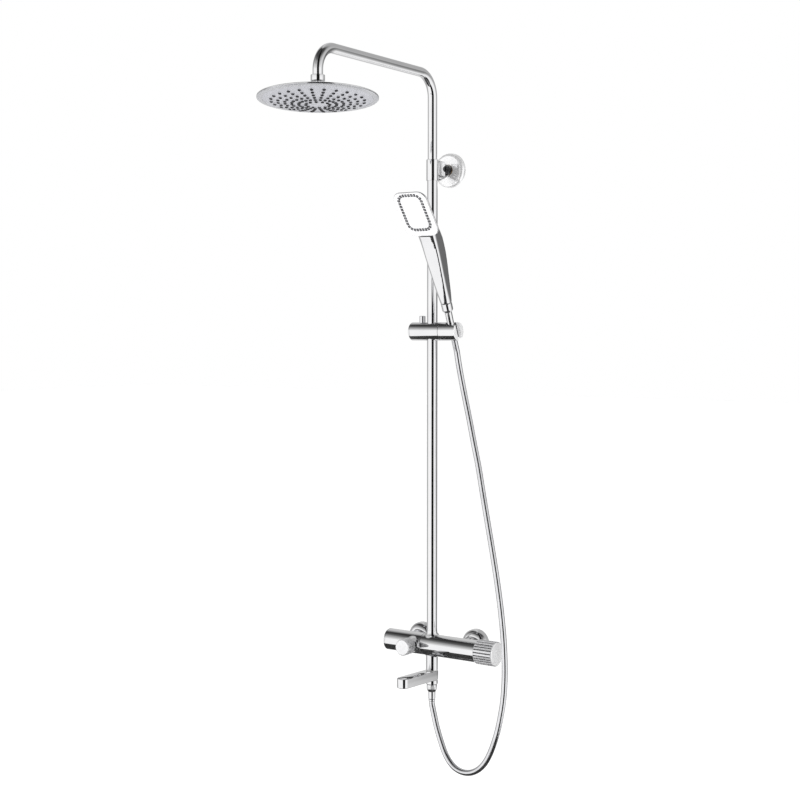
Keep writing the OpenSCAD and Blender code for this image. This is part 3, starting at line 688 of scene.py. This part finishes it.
left = Shape()
left.lathe(
    BAR,
    filleted([
        (20, -117), (24.4, -117, 0.4), (25, -116.4, 0.4), (25, -21, 0.6), (23.6, -21), (23.6, -18.7),
        (9, -18.7), (9, -100), (20, -100),
    ]),
    160, True,
)
left.lathe(KNOB, filleted([(13, 20), (17, 20), (17, 36.5, 1.2), (13, 36.5)]), 96, True)
left.saddle(KNOB, 17, 5)
left.lathe(
    shift(-INLET_X, 0, 0) @ OUTWARD, filleted([(7.5, 43.6), (13.1, 43.6, 0.6), (13.1, 60), (7.5, 60)]), 72,
    True,
)
left.saddle(shift(-INLET_X, RISER_Y, 0) @ TO_WALL, 13.1, 2.5)
left.make("diverter_casting", CHROME, "column", "chrome", ("diverter_body",))

end_cap = Shape()
end_cap.lathe(
    BAR @ shift(0, 0, -121),
    filleted([(0, 0.25), (14, 0.1), (25, 0, 2.6), (25, 3.9, 0.3), (19.9, 3.9), (19.9, 12), (0, 12)]), 160,
)
end_cap.make("bar_end", CHROME, "column", "chrome", ("bar_end_cap",))

GRIP_RIBS = 24


def grip_wave(angle, r):
    if r > 0:
        return r
    phase = (angle * GRIP_RIBS / (2 * math.pi)) % 1
    away = abs(phase - 0.5) * 2
    return -r - 1.7 * max(0.0, 1 - away / 0.5)


GRIP_START = 126.8
grip = Shape()
grip.lathe(
    BAR @ shift(0, 0, GRIP_START),
    [(8, 0.2), (23.2, 0.2), (-26.4, 0.15), (-27.7, 0.5), (-28, 1.2), (-28, 24), (-28, 46.6),
     (-27.6, 47.2), (25.9, 47.25), (0.01, 47.3)],
    GRIP_RIBS * 20,
    wave=grip_wave,
)
# the end disc takes the painted-light pale chrome
grip.lathe(
    BAR @ shift(0, 0, GRIP_START),
    filleted([(0, 46), (26, 46), (26, 48.6), (25.3, 49, 0.3), (14, 49), (0, 48.95)]),
    160,
    slot=1,
)
grip.lathe(BAR @ shift(0, 0, 100.8), filleted([(0, 0), (5, 0, 0.4), (5, 40), (0, 40)]), 40)
# a near-black cylinder under the ribs that shows in the grooves as painted shade
grip.lathe(BAR @ shift(0, 0, GRIP_START), [(27.2, 1.4), (27.2, 46.4)], 160, slot=2)
grip.make(
    "handle", [SATIN_CHROME, PALE_LIT_CHROME, GROOVE_SHADE], "mixing_handle", "chrome_on_plastic", ("mixing_grip",),
    sharp=28,
)

KNOB_RIBS = 40


def knob_wave(angle, r):
    if r > 0:
        return r
    phase = (angle * KNOB_RIBS / (2 * math.pi)) % 1
    cut = max(0.0, 1 - (abs(phase - 0.5) * 2 / 0.55) ** 2)
    return -r - 0.75 * math.sqrt(cut)


knob = Shape()
knob.lathe(
    KNOB,
    [(4.1, 37.6), (14, 37.6), (18.2, 37.6), (-19, 38.4), (-19, 50), (-19, 63.4), (-18.8, 64),
     (18, 64.1), (17.7, 65.2), (17, 65.5), (17, 64)],
    KNOB_RIBS * 10,
    wave=knob_wave,
    slot=1,
)
knob.lathe(
    KNOB,
    filleted([(0, 60), (16.9, 60), (16.9, 65.4), (16.6, 65.9, 0.3), (11, 66), (0, 66)]),
    160,
)
knob.make(
    "diverter_grip", [KNOB_WHITE, SATIN_CHROME], "diverter", "white_gloss", ("diverter_knob",), sharp=28,
)

covers = Shape()
for side in (-1, 1):
    covers.lathe(
        shift(side * INLET_X, 0, 0) @ OUTWARD,
        [(12.3, 23.6), (12.6, 24.6)]
        + [
            (15 + 18 * math.sin(math.radians(a)), 9 + 16 * math.cos(math.radians(a)))
            for a in range(0, 91, 5)
        ]
        + [(33, 4), (33, 0.1), (31.5, 0.1), (31.5, 9), (26, 19), (16, 23.4)],
        128,
        True,
    )
covers.make("wall_rosettes", CHROME, "column", "chrome", ("wall_covers",), sharp=40)

# ---------------------------------------------------------------- risers and wall bracket
column = Shape()
column.lathe(RISER, filleted([(11.2, 16.4), (12, 16.4), (12, 1099, 0.4), (11.2, 1099)]), 128, True)
column.make("riser_tube", CHROME, "column", "chrome", ("lower_riser",))

bracket = Shape()
bracket.lathe(
    RISER @ shift(0, 0, BRACKET_Z),
    filleted([(12.06, -30), (14, -30, 0.7), (14, 18, 0.7), (10.95, 18), (10.95, 10), (12.06, 10)]),
    128,
    True,
)
block = rounded_outline(19, 34, 1.2)
bracket.slab(shift(0, 0, BRACKET_Z) @ OUTWARD, block, [(1, 40), (0.3, 40.3), (0, 41), (0, 79)])
foot = []
for k in range(21):
    t = k / 20
    y = RISER_Y + 3 + 60 * t
    low, high, wide = -31 + 19 * t * t, -17.6 + 9 * t**3, 8.4 - 3 * t
    middle, half = (low + high) / 2, (high - low) / 2
    outline = rounded_outline(2 * wide, 2 * half, min(half * 0.8, 5), 6)
    foot.append([Vector((x, y, BRACKET_Z + middle + z)) for x, z in outline])
bracket.rings(foot)
bracket.make("bracket_arm", CHROME, "column", "chrome", ("bracket_sleeve",))

stub = Shape()
stub.lathe(
    shift(0, 0, BRACKET_Z) @ OUTWARD,
    filleted([
        (9, 14.3), (12, 14.3), (12, 26, 0.4), (12.5, 26.6), (12.5, 28.2), (12, 28.8, 0.4), (12, 40.5),
        (9, 40.5),
    ]),
    112,
    True,
)
stub.make("bracket_stub", CHROME_PAINTED_SHADE, "column", "chrome", sharp=40)

rose = Shape()
rose.lathe(
    shift(0, 0, BRACKET_Z) @ OUTWARD,
    filleted([
        (12.3, 13.4), (13, 14, 0.3), (33, 14, 3), (38.4, 11, 4), (40, 6, 3), (40, 0.1), (38.5, 0.1),
        (38.5, 5), (32, 12.4), (12.3, 12.5),
    ]),
    144,
    True,
)
rose.make("bracket_rosette", COVER_LIT_CHROME, "column", "chrome", ("bracket_cover",), sharp=40)

ARM_Z, BEND, REACH = 1314, 52, 430
route = [Vector((0, RISER_Y, z)) for z in range(860, 1262, 20)]
for k in range(33):
    a = math.radians(90 * k / 32)
    route.append(Vector((0, RISER_Y - BEND + BEND * math.cos(a), ARM_Z - BEND + BEND * math.sin(a))))
route += [Vector((0, RISER_Y - BEND - s, ARM_Z)) for s in range(20, REACH - 2 * BEND, 20)]
for k in range(33):
    a = math.radians(90 + 90 * k / 32)
    route.append(
        Vector((0, RISER_Y - REACH + BEND + BEND * math.cos(a), ARM_Z - BEND + BEND * math.sin(a)))
    )
route.append(Vector((0, RISER_Y - REACH, ARM_Z - BEND - 19)))
arm = Shape().sweep(route, 10.8, 96)
arm.make("riser_arm", CHROME, "arm", "chrome", ("upper_riser",))

collar = Shape()
collar.lathe(
    shift(0, HEAD_Y, BALL_Z),
    filleted([
        (0, -8.9), (4, -8.2), (7.2, -5.4), (9, 0, 2), (7.2, 5.4), (5.5, 7.6, 1), (5.5, 14), (13.2, 14, 0.6),
        (14.8, 16.4, 0.8), (14.8, 28, 1), (10.9, 28), (0, 28),
    ]),
    128,
)
collar.make("arm_collar", CHROME, "arm", "chrome", ("ball_fitting",), sharp=40)

# ---------------------------------------------------------------- overhead shower
nut = Shape()
nut.lathe(
    HEAD,
    filleted([
        (11, -12.3), (14.2, -12.3, 0.5), (14.2, -2, 1.5), (13.2, 3.2, 2), (10.4, 8.6, 1.5), (9.2, 9.6),
        (9, 8), (11.9, 0.5), (11, -2),
    ]),
    128,
    True,
)
nut.make("head_swivel_nut", CHROME, "overhead_shower", "chrome", ("swivel_nut",), sharp=40)

HEAD_R = 125
shell = Shape()
shell.lathe(
    HEAD,
    filleted(
        [(9, -8.6), (10.9, -8.6), (10.9, -12.4), (17, -12.4, 1.5), (30, -13.2), (80, -14.3), (118, -15.2, 2),
         (HEAD_R, -16.6, 1.2), (HEAD_R, -18.9, 0.4), (HEAD_R - 1.4, -18.9), (HEAD_R - 3, -16.9),
         (30, -14.9), (9, -14.6)]
    ),
    256,
    True,
)
shell.make("head_top", CHROME, "overhead_shower", "chrome", ("head_shell",), sharp=30)

BULGE_EDGE, BULGE = HEAD_R - 12, 12
BULGE_R = (BULGE_EDGE**2 + BULGE**2) / (2 * BULGE)


def under(r):
    return BULGE_R - BULGE - 21 - math.sqrt(BULGE_R**2 - r * r)


plate = Shape()
band = [
    (HEAD_R - 0.6, -19.1), (HEAD_R, -20, 0.5), (HEAD_R - 1.4, -21.2, 0.8), (BULGE_EDGE + 1.2, -21.6, 0.5),
]
plate.lathe(
    HEAD, filleted([(BULGE_EDGE - 4, -19), *band, (BULGE_EDGE + 0.6, -20.9), (BULGE_EDGE - 4, -20.9)]), 256,
    True, slot=1,
)
dome = [(BULGE_EDGE + 0.4, -20.9), (BULGE_EDGE - 0.4, -21.1)]
dome += [(r, under(r)) for r in range(BULGE_EDGE - 2, 0, -3)] + [(0, under(0))]
plate.lathe(HEAD, [(0, -19.5), (BULGE_EDGE + 0.4, -19.5)] + dome, 256)
HEAD_RINGS = [10.5 + 14.2 * i for i in range(1, 7)]
HEAD_ROWS = 24
spots = []
for i, r in enumerate(HEAD_RINGS):
    count = HEAD_ROWS // 2 if i == 0 else HEAD_ROWS
    for k in range(count):
        spots.append((r, 2 * math.pi * k / count))
for r, a in spots:
    slope = math.asin(r / BULGE_R)
    place = HEAD @ turn(math.degrees(a), "Z") @ shift(r, 0, under(r)) @ turn(-math.degrees(slope), "Y")
    plate.lathe(
        place, filleted([(0, 0.8), (4, 0.8), (4, 0.1), (3.7, -0.2, 0.2), (3, -0.25), (0, -0.2)], 2), 20,
    )
plate.make(
    "head_underside", [SATIN, SATIN_BAND], "overhead_shower", "satin_plate", ("head_plate",), sharp=30,
)

NOZZLE_PROFILE = filleted(
    [(0, 0.6), (3.6, 0.6), (3.55, -0.5, 0.2), (2.9, -2.3, 0.7), (0.8, -2.4), (0.7, -1.6), (0, -1.6)], 2
)
jets = Shape()
for r, a in spots:
    slope = math.asin(r / BULGE_R)
    place = HEAD @ turn(math.degrees(a), "Z") @ shift(r, 0, under(r)) @ turn(-math.degrees(slope), "Y")
    jets.lathe(place, NOZZLE_PROFILE, 20)
jets.make("overhead_nozzles", NOZZLE, "overhead_shower", "nozzle_rubber", ("head_nozzles",), sharp=50)

# ---------------------------------------------------------------- sliding holder
def cut(target, tool):
    """Removes tool from target for good."""
    modifier = target.modifiers.new("cut", "BOOLEAN")
    modifier.operation, modifier.solver, modifier.object = "DIFFERENCE", "EXACT", tool
    modifier.use_self = False
    graph = bpy.context.evaluated_depsgraph_get()
    mesh = bpy.data.meshes.new_from_object(target.evaluated_get(graph))
    target.modifiers.clear()
    old, target.data = target.data, mesh
    bpy.data.meshes.remove(old)
    bpy.data.objects.remove(tool)
    for polygon in mesh.polygons:
        polygon.use_smooth = True
    mesh.set_sharp_from_angle(angle=math.radians(24))


holder = Shape()
holder.lathe(
    HOLDER @ ALONG_X,
    filleted([(16, -50), (20.7, -50, 0.3), (21, -49.6, 0.3), (21, 26.5, 0.5), (16, 26.5)]), 144, True,
)
barrel = holder.make("holder_barrel", CHROME_PLASTIC, "holder", "chrome_on_plastic", ("slider_body",))
RISER_BORE = 12.4
bore = Shape().lathe(HOLDER, [(0, -30), (RISER_BORE, -30), (RISER_BORE, 30), (0, 30)], 96)
cut(barrel, bore.make("bore_tool", CHROME, None, None))
# painted shade: thin dark rings round the bore stand in for the shadowed gap where the riser passes through
# the holder
gap_shade = Shape()
for way in (Matrix.Identity(4), DOWN):
    rings = []
    for radius, proud in ((12.1, -1.5), (12.1, 0.12), (12.9, 0.12), (13.1, -0.2), (13.1, -1.5)):
        ring = []
        for k in range(96):
            a = 2 * math.pi * k / 96
            height = math.sqrt(21**2 - (radius * math.sin(a)) ** 2) + proud
            ring.append(HOLDER @ way @ Vector((radius * math.cos(a), radius * math.sin(a), height)))
        rings.append(ring)
    gap_shade.rings(rings, True)
gap_shade.make("holder_gap_shade", DARK, "holder", "inner_plastic")
cap = Shape()
cap.lathe(
    HOLDER @ ALONG_X @ shift(0, 0, -54),
    filleted([(0, 0.3), (10, 0.15), (21, 0, 2.4), (21, 3.9, 0.3), (14.4, 3.9), (14.4, 9), (0, 9)]), 144,
)
cap.make("holder_end", CHROME_PLASTIC, "holder", "chrome_on_plastic", ("slider_end_cap",))
button = Shape()
button.lathe(
    HOLDER @ shift(-27, 0, 0),
    filleted([(0, 11), (4.2, 11), (4.2, 4), (7, 4), (7, 35.7, 1.3), (4, 35.85), (0, 35.6)]), 96,
)
button.make("lock_push_button", CHROME_PLASTIC, "button", "chrome_on_plastic", ("lock_button",))

ring_steps = [(21, 28 + 2 * k) for k in range(21)]
grip_jaw = Shape()
grip_jaw.lathe(
    HOLDER @ ALONG_X,
    filleted([(0, 27.2), (20.6, 27.2), (21, 27.6)]) + ring_steps
    + filleted([(21, 69.9), (21, 71.6, 1.4), (12, 72)])[1:] + [(0, 72)],
    144,
)
jaw = grip_jaw.make(
    "hand_shower_cradle", [CHROME_PLASTIC, PALE_LIT_CHROME], "hand_cradle", "chrome_on_plastic", ("cradle",),
)
hole = Shape().lathe(
    HAND, [(0, -40), (12.2, -40), (12.2, 40), (0, 40)], 96,
).make("hole_tool", CHROME, None, None)
cut(jaw, hole)
slot_outline = [(-2, -7.8), (40, -7.8), (40, 7.8), (-2, 7.8)]
slot_tool = Shape().rings([[HAND @ Vector((x, y, z)) for x, y in slot_outline] for z in (-50, 50)])
cut(jaw, slot_tool.make("slot_tool", CHROME, None, None))
# the cradle's end region gets the painted-light pale chrome, the rest plain chrome on plastic
END_START = 70
to_jaw = (HOLDER @ ALONG_X).inverted()
for polygon in jaw.data.polygons:
    polygon.material_index = 1 if (to_jaw @ (polygon.center / MM)).z > END_START else 0

# ---------------------------------------------------------------- outlet, spout and lower hose end
neck = Shape()
neck.lathe(
    RISER, filleted([(7, -88), (10.5, -88), (10.5, -58), (14, -58, 0.5), (14, -22), (7, -22)]), 112, True,
)
neck.saddle(RISER @ DOWN, 14, 3)
neck.make("bar_outlet", CHROME, "column", "chrome", ("outlet_neck",))
outlet = Shape()
outlet.lathe(
    RISER,
    filleted([
        (6, -100.4), (10.3, -100.4), (10.3, -92), (12.6, -92, 0.4), (14, -90.6, 0.8), (14, -82.2, 0.5),
        (10.6, -82.2), (10.6, -88.1), (6, -88.1),
    ]),
    112, True,
)
outlet.make("hose_connector", CHROME, "column", "chrome", ("hose_outlet",))

flat = 14.6 - TIP_R
outline = []
for x, start in ((-flat, 180), (flat, 270)):
    for k in range(17):
        a = math.radians(start + 90 * k / 16)
        outline.append((x + TIP_R * math.cos(a), TIP_R - SPOUT_L + TIP_R * math.sin(a)))
outline += [
    (14.6 * math.cos(math.radians(a)), 14.6 * math.sin(math.radians(a))) for a in range(0, 181, 10)
]


def inset_outline(points, inset):
    if not inset:
        return points
    result = []
    for i, (x, y) in enumerate(points):
        px, py = points[i - 1]
        nx, ny = points[(i + 1) % len(points)]
        along = Vector((nx - px, ny - py)).normalized()
        result.append((x - along.y * inset, y + along.x * inset))
    return result


spout = Shape()
layers = [
    (1.4, -81.0), (0.7, -80.85), (0.2, -80.4), (0, -79.7), (0, -60.7), (0.2, -60.0), (0.7, -59.5),
    (1.4, -59.3),
]
spout.rings([[SPOUT @ Vector((x, y, z)) for x, y in inset_outline(outline, inset)] for inset, z in layers])
spout.make("bath_spout", CHROME, "spout", "chrome", ("spout_body",), sharp=35)
aerator = Shape()
aerator.lathe(
    SPOUT @ shift(0, -SPOUT_L + 16, 0),
    filleted([
        (0, -80.4), (6, -80.4), (8.6, -80.4), (8.8, -81.2), (10.4, -81.2, 0.3), (10.4, -76), (0, -76),
    ]),
    72,
)
for k in range(18):
    a = 2 * math.pi * k / 18
    r = 6.6 if k % 2 else 3.6
    aerator.lathe(
        SPOUT @ shift(r * math.cos(a), -SPOUT_L + 16 + r * math.sin(a), 0),
        filleted([(0, -80.9), (0.9, -80.9, 0.2), (0.9, -80), (0, -80)], 2),
        12,
        slot=1,
    )
aerator.make("spout_jet_former", [ACETAL, DARK], "spout", "inner_plastic", ("spout_aerator",))


def nut_wave(angle, r):
    if r > 0:
        return r
    return -r - 0.35 * (0.5 + 0.5 * math.cos(angle * 24)) ** 2


lower_nut = Shape()
lower_nut.lathe(
    RISER,
    [
        (7.3, -108.9), (9, -109), (9.5, -108.6), (-11.7, -104), (-12.1, -100), (-12.1, -94), (11.7, -92.6),
        (10.45, -92.3),
    ],
    144,
    wave=nut_wave,
)
lower_nut.make("hose_swivel_nut", CHROME, "column", "chrome", ("lower_hose_nut",), sharp=30)
ferrule = Shape()
ferrule.lathe(
    RISER,
    filleted([
        (5, -131.9), (7.6, -131.9, 0.6), (7.8, -128, 0.5), (7.2, -127.4, 0.3), (7.4, -126.6, 0.3),
        (8.1, -125.8, 0.4), (8.4, -109.4, 0.6), (7.2, -109.2), (7.2, -104.6), (9.8, -104.5), (9.8, -102.9),
        (5, -102.9),
    ]),
    112,
    True,
)
ferrule.make("hose_ferrule", CHROME, "column", "chrome", ("lower_hose_ferrule",), sharp=40)

# ---------------------------------------------------------------- hand shower
cone = Shape()
cone.lathe(
    HAND,
    filleted([
        (5.5, 2), (7.6, 2, 0.6), (8.4, 48, 1), (11.4, 51.2, 0.8), (12.6, 54, 1), (12.9, 69, 0.4),
        (12.5, 69.8), (10.45, 69.8), (10.45, 52.4), (5.5, 52.4),
    ]),
    128,
    True,
)
cone.make("cone_connector", CHROME, "hand_shower", "chrome", ("cone_nut",), sharp=40)

HANDLE = [
    (70.1, 0, 25.6, 25.6, 12.7), (80, 0, 26.8, 26.4, 11), (96, 0, 28.4, 27.8, 9), (116, 0, 30.6, 29.6, 7.8),
    (136, 0, 33, 31.4, 7.2), (160, 0, 36.2, 34.2, 6.8), (186, -0.5, 39.2, 36.8, 6.8),
    (206, -1.6, 40.8, 38, 7.4),
    (222, -3.2, 42.2, 38.6, 8), (238, -7, 44.5, 36.5, 9), (252, -12.5, 48, 33, 10),
    (264, -18.5, 51, 27, 10),
    (276, -25.5, 54, 19, 8),
]


def between(z):
    for a, b in zip(HANDLE, HANDLE[1:]):
        if a[0] <= z <= b[0]:
            t = (z - a[0]) / (b[0] - a[0])
            return [p + (q - p) * t for p, q in zip(a, b)]
    return list(HANDLE[-1])


body = Shape()
heights = [70.1, 71] + [74 + 4 * k for k in range(51)] + [276]
rings = []
for z in heights:
    _, off, w, d, r = between(z)
    rings.append([HAND @ Vector((x, y + off, z)) for x, y in rounded_outline(w, d, r, 10)])
body.rings(rings)
PLATE_W, PLATE_H, PLATE_ROUND = 84, 110, 20
TO_BACK = FACE @ TO_WALL
pad = []
for depth, less_w, less_h, lower, radius in (
    (1.2, -0.2, -0.2, 0, 20), (1.7, -2, -2, 0, 21), (2.6, -3, -3, 0, 21.5), (4.6, -3, -3, 0, 21.5),
    (6, -2, 0, 0.5, 21), (7.6, 1, 7, 2.6, 20), (9.4, 5, 16, 5.6, 19), (11, 8.6, 24, 8.6, 18),
    (13, 13, 34, 12, 17), (15, 18, 43, 15, 15), (16.8, 23, 51, 17.5, 13), (18, 28, 60, 19, 11),
):
    w, h = PLATE_W - less_w, PLATE_H - less_h
    pad.append([TO_BACK @ Vector((x, y + lower, depth)) for x, y in rounded_outline(w, h, radius, 12)])
body.rings(pad)
casing = body.make(
    "hand_shower_shell", CHROME_PLASTIC, None, "chrome_on_plastic", ("hand_shell",), sharp=60,
)
remesh = casing.modifiers.new("remesh", "REMESH")
remesh.mode, remesh.voxel_size, remesh.use_smooth_shade = "VOXEL", 0.0011, True
relax = casing.modifiers.new("relax", "SMOOTH")
relax.factor, relax.iterations = 0.5, 12
depsgraph = bpy.context.evaluated_depsgraph_get()
smoothed = bpy.data.meshes.new_from_object(casing.evaluated_get(depsgraph))
casing.modifiers.clear()
casing.data = smoothed
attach(casing, "hand_shower")

front = Shape()
plate_outline = rounded_outline(PLATE_W, PLATE_H, PLATE_ROUND, 16)
TO_FRONT = FACE @ OUTWARD
front.slab(
    TO_FRONT, plate_outline, [(1, -2.6), (0, -2.4), (0, -0.6), (0.3, -0.15), (1.0, 0.1), (3.5, 0.25)],
)
RING_W, RING_H, RING_ROUND, RING_COUNT, RING_UP = 58, 88, 16, 36, 5.75
lip = rounded_outline(RING_W - 10, RING_H - 10, RING_ROUND - 5, 14)
front.slab(
    TO_FRONT @ shift(0, RING_UP, 0),
    lip,
    [(-0.6, -0.5), (-0.3, 0.35), (0, 0.6), (0.6, 0.75), (2.2, 0.8), (3, 0.62), (8, 0.6)],
)
front.make("spray_face", WHITE, "hand_shower", "white_gloss", ("hand_plate",), sharp=40)


def ring_spot(s):
    """Place and direction at a distance s along the ring of jets."""
    w, h, r = RING_W - 2 * RING_ROUND, RING_H - 2 * RING_ROUND, RING_ROUND
    quarter = math.pi * r / 2
    for length, x, y, angle, straight in (
        (w, -w / 2, h / 2 + r, 0, True), (quarter, w / 2, h / 2, 90, False),
        (h, w / 2 + r, h / 2, -90, True), (quarter, w / 2, -h / 2, 0, False),
        (w, w / 2, -h / 2 - r, 180, True), (quarter, -w / 2, -h / 2, -90, False),
        (h, -w / 2 - r, -h / 2, 90, True), (quarter, -w / 2, h / 2, 180, False),
    ):
        if s <= length:
            if straight:
                a = math.radians(angle)
                return x + s * math.cos(a), y + s * math.sin(a), angle
            a = angle - s / quarter * 90
            return x + r * math.cos(math.radians(a)), y + r * math.sin(math.radians(a)), a - 90
        s -= length
    return -w / 2, h / 2 + r, 0


around = 2 * (RING_W + RING_H - 4 * RING_ROUND) + 2 * math.pi * RING_ROUND
teeth = Shape()
seat = rounded_outline(5.6, 6.8, 0.8, 3)
nub = rounded_outline(2.6, 3, 0.6, 3)
for k in range(RING_COUNT):
    x, y, angle = ring_spot(k * around / RING_COUNT)
    place = TO_FRONT @ shift(x, y + RING_UP, 0) @ turn(angle, "Z")
    teeth.slab(place, seat, [(0, -0.6), (0, 0.5), (0.2, 0.62), (0.9, 0.64)])
    teeth.slab(place, nub, [(0, 0.2), (0.1, 1.3), (0.35, 1.6), (0.8, 1.65)], slot=1)
teeth.make(
    "spray_ring", [NOZZLE, GREY_NOZZLE], "hand_shower", "nozzle_rubber", ("hand_nozzles",), sharp=50
)
